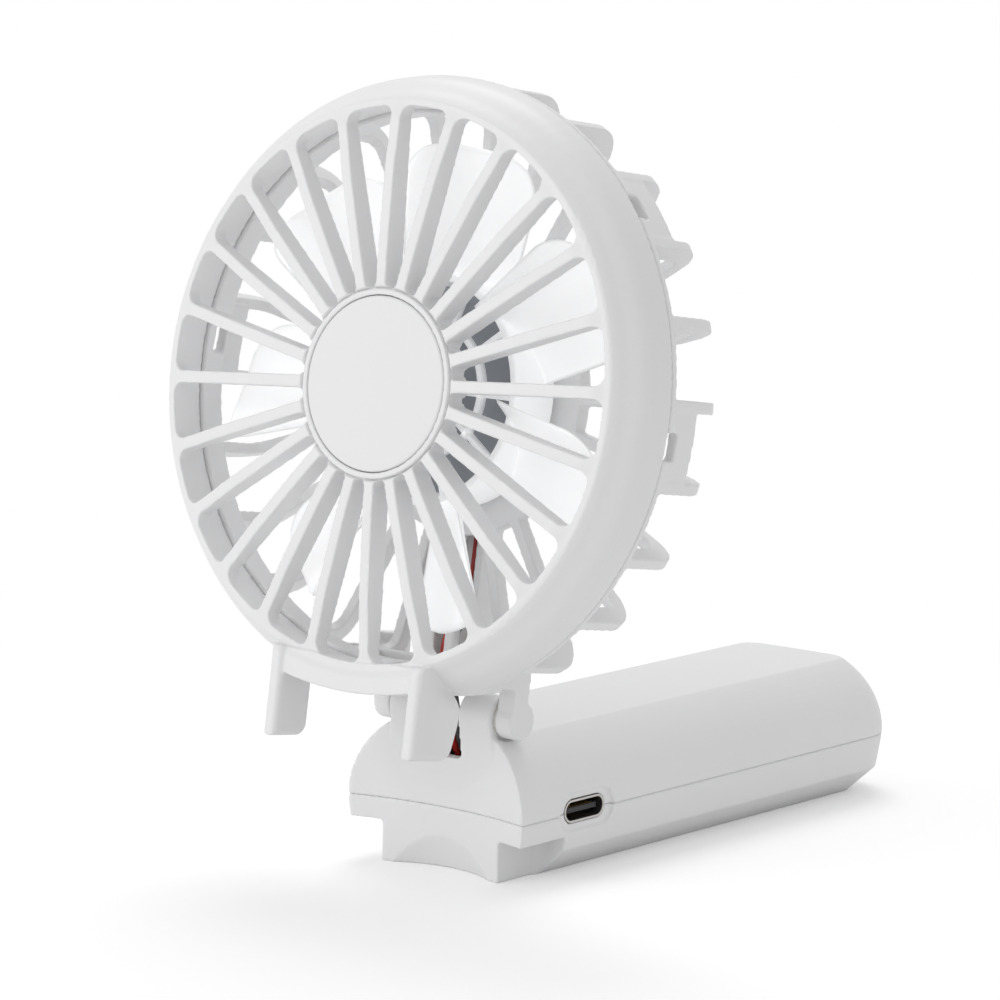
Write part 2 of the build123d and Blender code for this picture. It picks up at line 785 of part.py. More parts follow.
def rear_guard():
    """Rear guard: skirt, bent ribs, snap plates, motor bay, mast, chin box and knuckles."""
    nested_outer = guard_radius - rim_lip - lip_clearance
    with BuildSketch(Plane.XZ) as skirt:
        with BuildLine():
            Polyline((slot_outer_radius, -skirt_front), (nested_outer, -skirt_front),
                     (nested_outer, -guard_depth - part_gap), (guard_radius, -guard_depth - part_gap),
                     (guard_radius, -skirt_end), (slot_outer_radius, -skirt_end), close=True)
        make_face()
    turns = around(spoke_count, rib_turn)
    guard = revolve(skirt.sketch, Axis.Z) - below_chin(skirt_front, skirt_end)
    guard += [rib(turn) for turn in turns] + [at(turns[index], snap_plate(inset)) for index, inset in plates]
    guard += [ring(hub_disc_radius, 0, hub_disc_front, rib_rear),
              ring(motor_bay_radius, motor_bay_inner, hub_disc_front, motor_bay_rear),
              ring(boss_radius, 0, boss_front, hub_disc_front),
              mast(), chin_box(), *both_sides(arm())]
    screw_holes = [upright_cylinder(motor_screw_radius + running_fit, x, y, -rib_rear, -hub_disc_front)
                   for x, y in motor_screw_places()]
    return guard - [mast_groove(), lead_hole(), ring(bearing_radius, 0, boss_front, rib_rear),
                    *screw_holes, *(at(turns[index], snap_window()) for index, _ in plates)]


def rear_cover():
    """Disc that closes the motor bay from behind."""
    return ring(motor_bay_inner, 0, motor_bay_rear - mast_wall, motor_bay_rear)


def motor_screw_places():
    """Where the motor screws stand, in the head's frame."""
    turns = [radians(turn) for turn in around(motor_screw_count, motor_screw_turn)]
    return [(motor_screw_circle * cos(turn), motor_screw_circle * sin(turn)) for turn in turns]


def motor_screws():
    """Screws from the motor bay through the hub disc into the stator."""
    one = screw(motor_screw_radius, motor_screw_length)
    return [Pos(x, y, -rib_rear) * one for x, y in motor_screw_places()]


def motor_board():
    """Round driver board on the hub disc."""
    front = hub_disc_front - motor_board_thickness
    board = ring(motor_board_radius, boss_radius + part_gap, front, hub_disc_front)
    for x, y in motor_screw_places():
        board -= upright_cylinder(motor_screw_radius + running_fit, x, y, -hub_disc_front, -front)
    return board


def motor_bearing():
    """Sleeve bearing in the boss."""
    return ring(bearing_radius, shaft_radius + running_fit, boss_front, hub_disc_front)


def motor_stator():
    """Stator core with its wound poles."""
    core = ring(stator_yoke, boss_radius + running_fit, stator_front, stator_rear)
    pole = block(stator_yoke - part_gap, stator_radius - part_gap, -pole_width / 2, pole_width / 2,
                 -stator_rear, -stator_front)
    shoes = ring(stator_radius, stator_radius - pole_shoe, stator_front, stator_rear)
    gap = block(0, stator_radius + part_gap, -pole_gap / 2, pole_gap / 2, -stator_rear, -stator_front)
    shoes -= [at(turn, gap) for turn in around(stator_poles, 180 / stator_poles)]
    core += [at(turn, pole) for turn in around(stator_poles)] + [shoes]
    return core - [upright_cylinder(motor_screw_radius + running_fit, x, y, -stator_rear,
                                    motor_screw_length + part_gap - rib_rear)
                   for x, y in motor_screw_places()]


# ---------------------------------------------------------------- rotor, in the head's frame

def rotor_can():
    """Steel cup that carries the magnet."""
    cup = ring(can_radius, shaft_radius, can_front, can_rear)
    return cup - ring(can_radius - can_wall, 0, can_front + can_wall, can_rear)


def rotor_magnet():
    """Ring magnet against the cup's wall."""
    return ring(can_radius - can_wall, stator_radius + air_gap, can_front + can_wall,
                can_rear - can_wall)


def motor_shaft():
    """Steel shaft from the hub's boss through the bearing."""
    return ring(shaft_radius, 0, hub_rib_front + can_wall, hub_disc_front - part_gap)


def blade_section(radius, chord, pitch):
    """Curved, thin blade section on a plane at a radius, facing outwards."""
    bulge = chord * blade_camber
    half = chord / 2
    thick = blade_thickness / 2
    outline = [ThreePointArc((-half, 0), (0, -bulge - thick), (half, 0)),
               ThreePointArc((half, 0), (0, thick - bulge), (-half, 0))]
    station = Plane(origin=(radius, 0, -blade_mid_depth), x_dir=(0, 1, 0), z_dir=(1, 0, 0))
    return station * Rot(0, 0, pitch) * make_face(outline)


def blade():
    """One blade, lofted from the hub to the tip and rounded at its tip corners."""
    root = hub_rim_radius - hub_rim_wall
    middle = (root + blade_tip_radius) / 2
    body = loft([blade_section(root, blade_root_chord, blade_root_pitch),
                 blade_section(middle, (blade_root_chord + blade_tip_chord) / 2,
                               (blade_root_pitch + blade_tip_pitch) / 2),
                 blade_section(blade_tip_radius + blade_thickness, blade_tip_chord, blade_tip_pitch)])
    inner = root + part_gap
    width = blade_tip_chord * cos(radians(blade_tip_pitch))
    petal = Pos((inner + blade_tip_radius) / 2, 0) * Rectangle(blade_tip_radius - inner, width)
    petal = fillet(petal.vertices().group_by(Axis.X)[-1], blade_corner) & Circle(blade_tip_radius)
    return body & Pos(0, 0, -hub_disc_front) * extrude(petal, hub_disc_front)


def impeller():
    """Seven blades on an open hub: rim, inner ring, ribs and boss."""
    hub = ring(hub_rim_radius, hub_rim_radius - hub_rim_wall, hub_rim_front, hub_rim_rear)
    hub += ring(hub_ring_radius, hub_ring_radius - hub_ring_wall, hub_rib_front, can_front)
    hub += ring(hub_boss_radius, shaft_radius, hub_rib_front, can_front)
    spoke = block(hub_boss_radius - can_wall, hub_rim_radius - hub_rim_wall / 2, -hub_rib_width / 2,
                  hub_rib_width / 2, -can_front, -hub_rib_front)
    one_blade = blade()
    return hub + [ring(hub_rim_radius, can_radius, hub_rim_rear - hub_flange, hub_rim_rear),
                  *(at(turn, spoke) for turn in around(hub_rib_count)),
                  *(at(turn, one_blade) for turn in around(blade_count, blade_turn))]


# ---------------------------------------------------------------- leads

def tube_along(points, side):
    """Lead through points given along Y and Z, with arcs as large as the runs allow."""
    route = [Vector(side * lead_spacing / 2, y, z) for y, z in points]
    runs = [after - before for before, after in zip(route, route[1:])]
    radii = []
    for before, after in zip(runs, runs[1:]):
        half_turn = radians(before.get_angle(after)) / 2
        radii.append(arc_share * min(before.length, after.length) / tan(half_turn))
    path = FilletPolyline(*route, radius=radii)
    start = Plane(origin=route[0], z_dir=runs[0])
    tube = sweep(start * Circle(lead_diameter / 2), path)
    print(f"lead {path.length:.1f} long, radii", [round(radius, 1) for radius in radii])
    return tube


# ---------------------------------------------------------------- build

lower_route = [(front_y + back, height) for back, height in lower_lead_points]
upper_route = [(above - hinge_drop, -depth) for above, depth in mast_lead_points]
upper_route += [(-below, -depth) for below, depth in bay_lead_points]

nodes = {
    "upper_shell": [upper_shell()],
    "lower_shell": [lower_shell()],
    "shell_screws": shell_screws(),
    "control_board": [control_board()],
    "board_screws": board_screws(),
    "usb_c_shell": [usb_c_shell()],
    "usb_c_tongue": [usb_c_tongue()],
    "button_switch": [button_switch()],
    "power_button": [power_button()],
    "status_light": [light_pipe()],
    "battery_cell": [battery_cell()],
    "hinge_pins": hinge_pins(),
    "hinge_bushes": hinge_bushes(),
    "friction_washers": friction_washers(),
    "red_lead_lower": [tube_along(lower_route, -1)],
    "black_lead_lower": [tube_along(lower_route, 1)],
}
head_nodes = {
    "front_guard": [front_guard()],
    "front_cap": [front_cap()],
    "rear_guard": [rear_guard()],
    "rear_cover": [rear_cover()],
    "motor_screws": motor_screws(),
    "motor_board": [motor_board()],
    "motor_bearing": [motor_bearing()],
    "motor_stator": [motor_stator()],
    "rotor_can": [rotor_can()],
    "rotor_magnet": [rotor_magnet()],
    "motor_shaft": [motor_shaft()],
    "impeller": [impeller()],
    "red_lead_upper": [tube_along(upper_route, -1)],
    "black_lead_upper": [tube_along(upper_route, 1)],
}
for name, shapes in head_nodes.items():
    nodes[name] = [head_plane.location * shape for shape in shapes]

os.makedirs("parts", exist_ok=True)
for name, shapes in nodes.items():
    export_step(shapes[0] if len(shapes) == 1 else Compound(children=shapes), f"parts/{name}.step")
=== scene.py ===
from math import cos, pi, radians, sin, sqrt, tan

import bmesh
import bpy
import numpy as np
from mathutils import Matrix, Vector


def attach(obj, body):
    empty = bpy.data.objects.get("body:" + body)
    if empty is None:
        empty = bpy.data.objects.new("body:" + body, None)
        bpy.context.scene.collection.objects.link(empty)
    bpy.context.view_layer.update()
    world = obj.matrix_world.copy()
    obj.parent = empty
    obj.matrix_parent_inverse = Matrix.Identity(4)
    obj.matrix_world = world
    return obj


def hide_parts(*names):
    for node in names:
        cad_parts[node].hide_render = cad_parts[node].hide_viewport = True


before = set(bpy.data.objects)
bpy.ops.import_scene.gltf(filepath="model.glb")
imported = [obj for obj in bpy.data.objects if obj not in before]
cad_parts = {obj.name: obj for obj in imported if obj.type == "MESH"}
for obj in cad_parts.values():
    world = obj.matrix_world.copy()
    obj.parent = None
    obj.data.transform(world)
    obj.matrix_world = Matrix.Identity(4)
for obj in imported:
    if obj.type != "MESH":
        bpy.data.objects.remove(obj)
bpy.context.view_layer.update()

# Looks of the folding battery fan. Sizes of pieces are millimetres and become metres where a mesh
# is made. Lamps, floor and textures are in metres. Pieces of the head are made in the head's own
# frame: X right, Y up, Z ahead, with its origin in the middle of the cap's face.

MM = 0.001
LEAN = radians(8.4)
HINGE = Vector((0, -43.25, 22.87))
HEAD_UP = Vector((0, sin(LEAN), cos(LEAN)))
HEAD_AHEAD = Vector((0, -cos(LEAN), sin(LEAN)))
HINGE_DROP, HINGE_DEPTH = 44.7, 24.75
CAP_CENTRE = HINGE + HEAD_UP * HINGE_DROP + HEAD_AHEAD * HINGE_DEPTH
HEAD_MATRIX = Matrix.Translation(CAP_CENTRE * MM) @ Matrix((
    (1, 0, 0, 0),
    (0, HEAD_UP.y, HEAD_AHEAD.y, 0),
    (0, HEAD_UP.z, HEAD_AHEAD.z, 0),
    (0, 0, 0, 1))) @ Matrix.Scale(MM, 4)
PART_MATRIX = Matrix.Scale(MM, 4)

# Corrections of the mouldings, from the photo. A pair in brackets is where a smooth step starts
# and ends.
DOME_RISE, DOME_START = 1.0, (13.0, 13.4)
DOME_FALLS = ((0.35, (16, 30)), (0.65, (28, 36.5)), (0.5, (35.5, 38.2)))
SLOT_END, RIM_DIP, RIM_END = 38.2, 0.5, 40.6
FRONT_SKIN = (-3.4, -1.2)
SLOT_REACH, REACH_START, REACH_END = 0.55, (33, 37.4), (37.8, 40.8)
LEG_TOP, LEG_MID = 42.3, 12.5
LEG_SPREAD, SPREAD_LOSS, LEG_BACK = 2.3, 0.45, (1.5, 8.0)
SEAM, LIP_RISE = 9.1, 0.1
REAR_START, HALF_WIDTH, HALF_HEIGHT = 38.0, 16.0, 10.2
END_CORE, END_PULL, END_LIMIT = 0.55, 0.8, 0.3

BLADES, BLADE_TURN = 7, 29.0

# Closed outlines of the impeller's hub: radius, height and corner radius.
HUB_WALL = [(16.2, -10.6, 0.3), (15.1, -10.6, 0.3), (15.1, -17.8, 0), (14.35, -17.8, 0.1),
            (14.35, -19.2, 0.1), (16.2, -19.2, 0.3)]
HUB_RING = [(9.6, -11.2, 0.15), (8.9, -11.2, 0.15), (8.9, -12.6, 0), (9.6, -12.6, 0)]
HUB_BOSS = [(3.2, -11.2, 0.2), (1.0, -11.2, 0), (1.0, -12.6, 0), (3.2, -12.6, 0)]
# A bar of the hub: sideways place, height and corner radius; then the radii that it runs between.
HUB_BAR = [(-0.35, -11.2, 0.15), (-0.35, -12.6, 0), (0.35, -12.6, 0), (0.35, -11.2, 0.15)]
HUB_BARS, BAR_SPAN = 10, (2.8, 15.5)

# Routes of the leads: Y and Z in the handle, drop below the fan's axis and depth in the head.
LEAD_DIAMETER, LEAD_SIDE = 1.1, 0.65
LOWER_ROUTE = [(-43.25, 22.87), (-43.2, 21.4), (-42.15, 17.6), (-38.65, 13.2), (-33.65, 11.2),
               (-30.25, 8.22)]
UPPER_ROUTE = [(HINGE_DROP, HINGE_DEPTH), (43.0, 24.1), (39.5, 22.6), (34.5, 21.7), (28.5, 24.7),
               (19.0, 25.0), (13.6, 24.0), (10.7, 22.8), (9.6, 20.75)]
MAST_SHIFT, MAST_TOP, MAST_FOOT = 1.6, 12, 30

# The port's tongue and the contacts on both of its faces.
HANDLE_FRONT, PORT_BACK, PORT_HEIGHT, TONGUE_HALF = -47.25, 14.8, 9.3, 0.37
CONTACTS, CONTACT_PITCH, CONTACT_SPAN = 12, 0.5, (10.4, 14.2)
CONTACT_HALF_WIDTH, CONTACT_HALF_THICKNESS, CONTACT_CORNER = 0.13, 0.04, 0.05


# ---------------------------------------------------------------- mesh tools

def add_object(name, data):
    obj = bpy.data.objects.new(name, data)
    bpy.context.collection.objects.link(obj)
    return obj


def shade(mesh, smooth=True):
    mesh.polygons.foreach_set("use_smooth", [smooth] * len(mesh.polygons))


def from_bmesh(name, bm, matrix=PART_MATRIX, smooth=True):
    bm.transform(matrix)
    bmesh.ops.recalc_face_normals(bm, faces=bm.faces)
    mesh = bpy.data.meshes.new(name)
    bm.to_mesh(mesh)
    bm.free()
    shade(mesh, smooth)
    return add_object(name, mesh)


def get_places(mesh):
    """Places of a mesh's vertices, one per row."""
    places = np.empty(len(mesh.vertices) * 3)
    mesh.vertices.foreach_get("co", places)
    return places.reshape(-1, 3)


def set_places(mesh, places):
    mesh.vertices.foreach_set("co", places.ravel())
    mesh.update()


def ease(value, low, high):
    """Smooth step from 0 at low to 1 at high."""
    t = np.clip((value - low) / (high - low), 0, 1)
    return t * t * (3 - 2 * t)


def rounded(corners, steps=5):
    """Closed outline with an arc at each corner given as (x, y, radius)."""
    straight = 3.13
    points = []
    count = len(corners)
    for index, (x, y, radius) in enumerate(corners):
        here = Vector((x, y))
        before = (Vector(corners[index - 1][:2]) - here).normalized()
        after = (Vector(corners[(index + 1) % count][:2]) - here).normalized()
        opening = before.angle(after) if radius else pi
        if radius <= 0 or opening > straight:
            points.append((x, y))
            continue
        reach = radius / tan(opening / 2)
        centre = here + (before + after).normalized() * radius / sin(opening / 2)
        start, end = here + before * reach - centre, here + after * reach - centre
        sweep = start.angle_signed(end)
        for step in range(steps + 1):
            turn = -sweep * step / steps
            points.append((centre.x + start.x * cos(turn) - start.y * sin(turn),
                           centre.y + start.x * sin(turn) + start.y * cos(turn)))
    return points


def lathe(bm, outline, segments):
    """Revolves a closed outline of (radius, height) about Z."""
    rings = []
    for step in range(segments):
        turn = 2 * pi * step / segments
        rings.append([bm.verts.new((max(r, 0) * cos(turn), max(r, 0) * sin(turn), z))
                      for r, z in outline])
    for step in range(segments):
        here, after = rings[step], rings[(step + 1) % segments]
        for index in range(len(outline)):
            following = (index + 1) % len(outline)
            bm.faces.new((here[index], after[index], after[following], here[following]))
    bmesh.ops.remove_doubles(bm, verts=[v for one in rings for v in one], dist=1e-5)


def prism(bm, outline, low, high):
    """Straight prism on an outline in XY between two heights."""
    bottom = [bm.verts.new((x, y, low)) for x, y in outline]
    top = [bm.verts.new((x, y, high)) for x, y in outline]
    bm.faces.new(bottom)
    bm.faces.new(top)
    for index in range(len(outline)):
        after = (index + 1) % len(outline)
        bm.faces.new((bottom[index], bottom[after], top[after], top[index]))


def loft(bm, loops):
    """Closed skin through loops of equal count, capped at both ends."""
    rows = [[bm.verts.new(point) for point in loop] for loop in loops]
    count = len(rows[0])
    for here, after in zip(rows, rows[1:]):
        for index in range(count):
            following = (index + 1) % count
            bm.faces.new((here[index], here[following], after[following], after[index]))
    bm.faces.new(rows[0])
    bm.faces.new(rows[-1])


def relax(mesh, rounds):
    """Evens a mesh and rounds its edges, with hardly any shrinking."""
    pull, push = 0.5, -0.52
    places = get_places(mesh)
    count = len(places)
    ends = np.empty(len(mesh.edges) * 2, dtype=np.int64)
    mesh.edges.foreach_get("vertices", ends)
    one, other = ends.reshape(-1, 2).T
    degree = np.maximum(np.bincount(ends, minlength=count), 1)[:, None]
    for _ in range(rounds):
        for share in (pull, push):
            total = np.stack([np.bincount(one, places[other, axis], count)
                              + np.bincount(other, places[one, axis], count)
                              for axis in range(3)], axis=1)
            places += share * (total / degree - places)
    set_places(mesh, places)


def evaluated(obj):
    """Mesh of an object with its modifiers applied."""
    depsgraph = bpy.context.evaluated_depsgraph_get()
    return bpy.data.meshes.new_from_object(obj.evaluated_get(depsgraph))


def moulded(name, node, voxel, rounds):
    """One soft-edged moulding from the solid of a node, with its corners run together."""
    bm = bmesh.new()
    bm.from_mesh(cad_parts[node].data)
    bmesh.ops.remove_doubles(bm, verts=bm.verts, dist=1e-7)
    mesh = bpy.data.meshes.new(name)
    bm.to_mesh(mesh)
    bm.free()
    obj = add_object(name, mesh)
    remesh = obj.modifiers.new("Remesh", "REMESH")
    remesh.mode = "VOXEL"
    remesh.voxel_size = voxel * MM
    obj.data = evaluated(obj)
    obj.modifiers.clear()
    relax(obj.data, rounds)
    shade(obj.data)
    return obj


def tube(name, points, diameter):
    """Round lead along a smooth line."""
    curve = bpy.data.curves.new(name, "CURVE")
    curve.dimensions = "3D"
    curve.bevel_depth = diameter / 2 * MM
    curve.bevel_resolution = 4
    curve.use_fill_caps = True
    curve.resolution_u = 16
    line = curve.splines.new("NURBS")
    line.points.add(len(points) - 1)
    for point, place in zip(line.points, points):
        point.co = (*(Vector(place) * MM), 1)
    line.order_u = 3
    line.use_endpoint_u = True
    shape = add_object(name + "_line", curve)
    mesh = evaluated(shape)
    bpy.data.objects.remove(shape)
    mesh.name = name
    shade(mesh)
    return add_object(name, mesh)


# ---------------------------------------------------------------- materials

def material(name, base, rough, metallic=0.0, shift=0.03, grain=900.0, bump=0.05, coat=0.0,
             glow=0.0, depth=0.0, clear=0.0):
    """Moulded or rolled surface: mottled colour, uneven roughness and fine grain in the normal; a
    glow, where given, is painted light, an emission in the base colour.
    """
    mottle, unevenness, relief_height = 60.0, 0.12, 0.0001
    mat = bpy.data.materials.new(name)
    mat.use_nodes = True
    nodes, links = mat.node_tree.nodes, mat.node_tree.links
    shader = nodes["Principled BSDF"]
    shader.inputs["Metallic"].default_value = metallic
    shader.inputs["Coat Weight"].default_value = coat
    shader.inputs["Subsurface Weight"].default_value = depth
    shader.inputs["Subsurface Radius"].default_value = (1.0, 0.9, 0.8)
    shader.inputs["Subsurface Scale"].default_value = 0.0015
    shader.inputs["Transmission Weight"].default_value = clear
    # Painted light: the emission makes the surface glow as if lit, though it is no lamp.
    if glow:
        shader.inputs["Emission Color"].default_value = (*base, 1)
        shader.inputs["Emission Strength"].default_value = glow
    place = nodes.new("ShaderNodeTexCoord")

    def noise(scale, detail):
        texture = nodes.new("ShaderNodeTexNoise")
        texture.inputs["Scale"].default_value = scale
        texture.inputs["Detail"].default_value = detail
        links.new(place.outputs["Object"], texture.inputs["Vector"])
        return texture.outputs["Fac"]

    tint = nodes.new("ShaderNodeMix")
    tint.data_type = "RGBA"
    links.new(noise(mottle, 4.0), tint.inputs["Factor"])
    tint.inputs[6].default_value = (*[channel * (1 - shift) for channel in base], 1)
    tint.inputs[7].default_value = (*[min(channel * (1 + shift), 1) for channel in base], 1)
    links.new(tint.outputs[2], shader.inputs["Base Color"])
    fine = noise(grain, 3.0)
    uneven = nodes.new("ShaderNodeMapRange")
    uneven.inputs["To Min"].default_value = rough * (1 - unevenness)
    uneven.inputs["To Max"].default_value = min(rough * (1 + unevenness), 1)
    links.new(fine, uneven.inputs["Value"])
    links.new(uneven.outputs["Result"], shader.inputs["Roughness"])
    relief = nodes.new("ShaderNodeBump")
    relief.inputs["Strength"].default_value = bump
    relief.inputs["Distance"].default_value = relief_height
    links.new(fine, relief.inputs["Height"])
    links.new(relief.outputs["Normal"], shader.inputs["Normal"])
    return mat


WHITE = material("white_moulding", (0.79, 0.79, 0.795), 0.46, shift=0.012, bump=0.06, depth=0.08)
CAP = material("cap_moulding", (0.79, 0.79, 0.795), 0.55, shift=0.01, grain=1500, bump=0.1)
# The blades' glow is painted light: an emission that stands in for light shining through their
# thin plastic.
PETAL = material("blade_plastic", (0.9, 0.905, 0.91), 0.3, shift=0.012, bump=0.03, depth=0.35,
                 glow=0.26)
STEEL = material("steel", (0.62, 0.62, 0.63), 0.28, metallic=1.0, grain=2200)
CAN = material("dark_steel", (0.33, 0.35, 0.38), 0.42, metallic=0.35, shift=0.08, grain=1800)
BRONZE = material("sintered_bronze", (0.52, 0.36, 0.2), 0.45, metallic=1.0, grain=3000, bump=0.3)
BOARD = material("board_green", (0.03, 0.14, 0.07), 0.4, shift=0.12, grain=1200, coat=0.3)
BLACK = material("black_plastic", (0.02, 0.02, 0.022), 0.42, grain=1500)
MAGNET = material("magnet", (0.08, 0.08, 0.085), 0.6, metallic=0.4, grain=2600, bump=0.3)
COPPER = material("winding_copper", (0.55, 0.22, 0.09), 0.35, metallic=1.0, grain=2600, bump=0.4)
CELL = material("cell_foil", (0.55, 0.56, 0.58), 0.35, metallic=0.8, grain=500, bump=0.25)
RED = material("red_insulation", (0.42, 0.02, 0.015), 0.4, grain=1300)
DARK = material("black_insulation", (0.03, 0.03, 0.032), 0.4, grain=1300)
LIGHT = material("light_pipe", (0.75, 0.85, 0.95), 0.2, clear=0.3)
WASHER = material("washer_nylon", (0.62, 0.6, 0.55), 0.5)
GOLD = material("contact_gold", (0.75, 0.5, 0.18), 0.3, metallic=1.0, grain=2600)
PORT = material("port_metal", (0.58, 0.56, 0.54), 0.3, metallic=1.0, grain=2000)

# Nodes that are shown as the solids are.
AS_BUILT = {
    "rear_cover": WHITE, "shell_screws": STEEL, "control_board": BOARD, "board_screws": STEEL,
    "usb_c_shell": PORT, "usb_c_tongue": BLACK, "button_switch": BLACK, "status_light": LIGHT,
    "battery_cell": CELL, "hinge_pins": STEEL, "hinge_bushes": BRONZE,
    "friction_washers": WASHER, "motor_screws": STEEL, "motor_board": BOARD,
    "motor_bearing": BRONZE, "motor_stator": COPPER, "rotor_can": CAN, "rotor_magnet": MAGNET,
    "motor_shaft": STEEL,
}


def dress(obj, mat, body, slot, *replaced):
    """Gives a made piece its material and body and hides the nodes that it stands for; the slot is
    not used.
    """
    obj.data.materials.clear()
    obj.data.materials.append(mat)
    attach(obj, body)
    if replaced:
        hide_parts(*replaced)


# ---------------------------------------------------------------- corrections of the mouldings

def dome_front(mesh):
    """Domes the spokes towards the cap, opens the slots' outer ends and spreads the legs."""
    to_head = np.array(HEAD_MATRIX.inverted())
    x, up, ahead = to_head[:3, :3] @ get_places(mesh).T + to_head[:3, 3:4]
    r = np.hypot(x, up)
    lift = DOME_RISE
    for fall, span in DOME_FALLS:
        lift = lift - fall * ease(r, *span)
    lift = np.where(r > SLOT_END, -RIM_DIP * (1 - ease(r, SLOT_END, RIM_END)), lift)
    ahead = ahead + lift * ease(r, *DOME_START) * ease(ahead, *FRONT_SKIN)
    reach = SLOT_REACH * ease(r, *REACH_START) * (1 - ease(r, *REACH_END))
    x, up = x * (1 + reach / r), up * (1 + reach / r)
    leg = ease(-up, LEG_TOP - 3, LEG_TOP + 0.5) * ease(np.abs(x), LEG_MID - 1, LEG_MID + 1)
    spread = LEG_SPREAD * (1 - SPREAD_LOSS * ease(-up, LEG_TOP + 1, LEG_TOP + 8))
    x = x + np.sign(x) * leg * (spread * ease(-ahead, *LEG_BACK))
    to_world = np.array(HEAD_MATRIX)
    set_places(mesh, (to_world[:3, :3] @ np.stack([x, up, ahead]) + to_world[:3, 3:4]).T)


def close_seam(mesh):
    """Brings the lower shell's lip up to the seam, so that only a shallow groove shows."""
    places = get_places(mesh)
    z = places[:, 2] / MM
    lip = ease(z, SEAM - 0.7, SEAM - 0.3) * (1 - ease(z, SEAM + 0.05, SEAM + 0.15))
    places[:, 2] += LIP_RISE * MM * lip
    set_places(mesh, places)


def round_end(mesh):
    """Rounds the handle's rear end in plan and from the side."""
    places = get_places(mesh)
    x, y, z = places.T / MM
    past = np.clip(y - REAR_START, 0, None)
    section = np.hypot(x / HALF_WIDTH, (z - HALF_HEIGHT) / HALF_HEIGHT)
    out = np.clip(section - END_CORE, 0, None)
    places[:, 1] -= past * np.minimum(END_PULL * out ** 2, END_LIMIT) * MM
    set_places(mesh, places)


# ---------------------------------------------------------------- made pieces

def make_cap():
    radius, thickness, crown, edge = 12.05, 1.2, 0.25, 0.35
    edge_steps, face_steps = 6, 12
    dome = (radius ** 2 + crown ** 2) / (2 * crown)
    outline = [(0.0, -thickness), (radius, -thickness)]
    rim = radius - edge
    top = crown - dome + sqrt(dome ** 2 - rim ** 2)
    for step in range(edge_steps + 1):
        turn = pi / 2 * step / edge_steps
        outline.append((rim + edge * cos(turn), top - edge + edge * sin(turn)))
    for step in range(1, face_steps + 1):
        r = rim * (1 - step / face_steps)
        outline.append((r, crown - dome + sqrt(dome ** 2 - r ** 2)))
    bm = bmesh.new()
    lathe(bm, outline, 128)
    return from_bmesh("front_cap", bm, HEAD_MATRIX)


def petal_loops():
    """Loops of one blade along its span, in the head's frame at 0 degrees."""
    root, tip, thickness, corner, edge = 15.4, 33.9, 0.75, 5.2, 0.4
    hub, hub_chord, hub_pitch, hub_middle = 15.1, 15.0, 42.0, 12.6
    chord_gain, pitch_loss, middle_loss, camber = 5.0, 18.0, 3.0, 0.1
    across, along, past = 25, 16, 14
    thinnest, bluntness = 0.0004, 8
    spans = [root + (tip - corner - root) * step / along for step in range(along)]
    spans += [tip - corner * cos(pi / 2 * step / past) for step in range(past + 1)]
    loops = []
    for span in spans:
        share = (span - hub) / (tip - hub)
        chord = hub_chord + chord_gain * share
        pitch = radians(hub_pitch - pitch_loss * share)
        middle = hub_middle - middle_loss * share
        half = chord / 2
        over = max(0.0, span - (tip - corner))
        half -= corner - sqrt(max(corner ** 2 - over ** 2, 0))
        close = min(1.0, (tip - span) / edge)
        thick = thickness / 2 * sqrt(max(1 - (1 - close) ** 2, thinnest))
        loop = []
        for side in (1, -1):
            for step in range(across):
                t = side * (2 * step / across - 1)
                s = t * half
                sag = chord * camber * (1 - (s / (chord / 2)) ** 2)
                h = -sag + side * thick * sqrt(max(1 - t ** bluntness, 0))
                y = s * cos(pitch) - h * sin(pitch)
                z = s * sin(pitch) + h * cos(pitch) - middle
                loop.append((sqrt(max(span ** 2 - y ** 2, 1)), y, z))
        loops.append(loop)
    return loops


def make_impeller():
    """Blades around an open hub, whose wall holds the motor's can."""
    bm = bmesh.new()
    for outline, segments in ((HUB_WALL, 128), (HUB_RING, 96), (HUB_BOSS, 48)):
        lathe(bm, rounded(outline), segments)
    bar = rounded(HUB_BAR)
    for index in range(HUB_BARS):
        turn = Matrix.Rotation(2 * pi * index / HUB_BARS, 4, "Z")
        loft(bm, [[turn @ Vector((r, x, z)) for x, z in bar] for r in BAR_SPAN])
    loops = petal_loops()
    for index in range(BLADES):
        turn = Matrix.Rotation(radians(BLADE_TURN + index * 360 / BLADES), 4, "Z")
        loft(bm, [[turn @ Vector(point) for point in loop] for loop in loops])
    return from_bmesh("impeller", bm, HEAD_MATRIX)


def upper_point(x, drop, depth):
    """Point of a lead in the head; in the mast it runs off to one side, out of sight."""
    shift = MAST_SHIFT if MAST_TOP < drop < MAST_FOOT else 0
    return CAP_CENTRE + Vector((x + shift, 0, 0)) - HEAD_UP * drop - HEAD_AHEAD * depth


def make_leads():
    """Motor leads; each pair meets on the hinge axis, so they stay joined at every tilt."""
    for colour, mat, x in (("red", RED, -LEAD_SIDE), ("black", DARK, LEAD_SIDE)):
        points = [(x, y, z) for y, z in LOWER_ROUTE]
        piece = tube(colour + "_lead_lower_tube", points, LEAD_DIAMETER)
        dress(piece, mat, "handle", colour + "_wire", colour + "_lead_lower")
        points = [upper_point(x, drop, depth) for drop, depth in UPPER_ROUTE]
        piece = tube(colour + "_lead_upper_tube", points, LEAD_DIAMETER)
        dress(piece, mat, "head", colour + "_wire", colour + "_lead_upper")


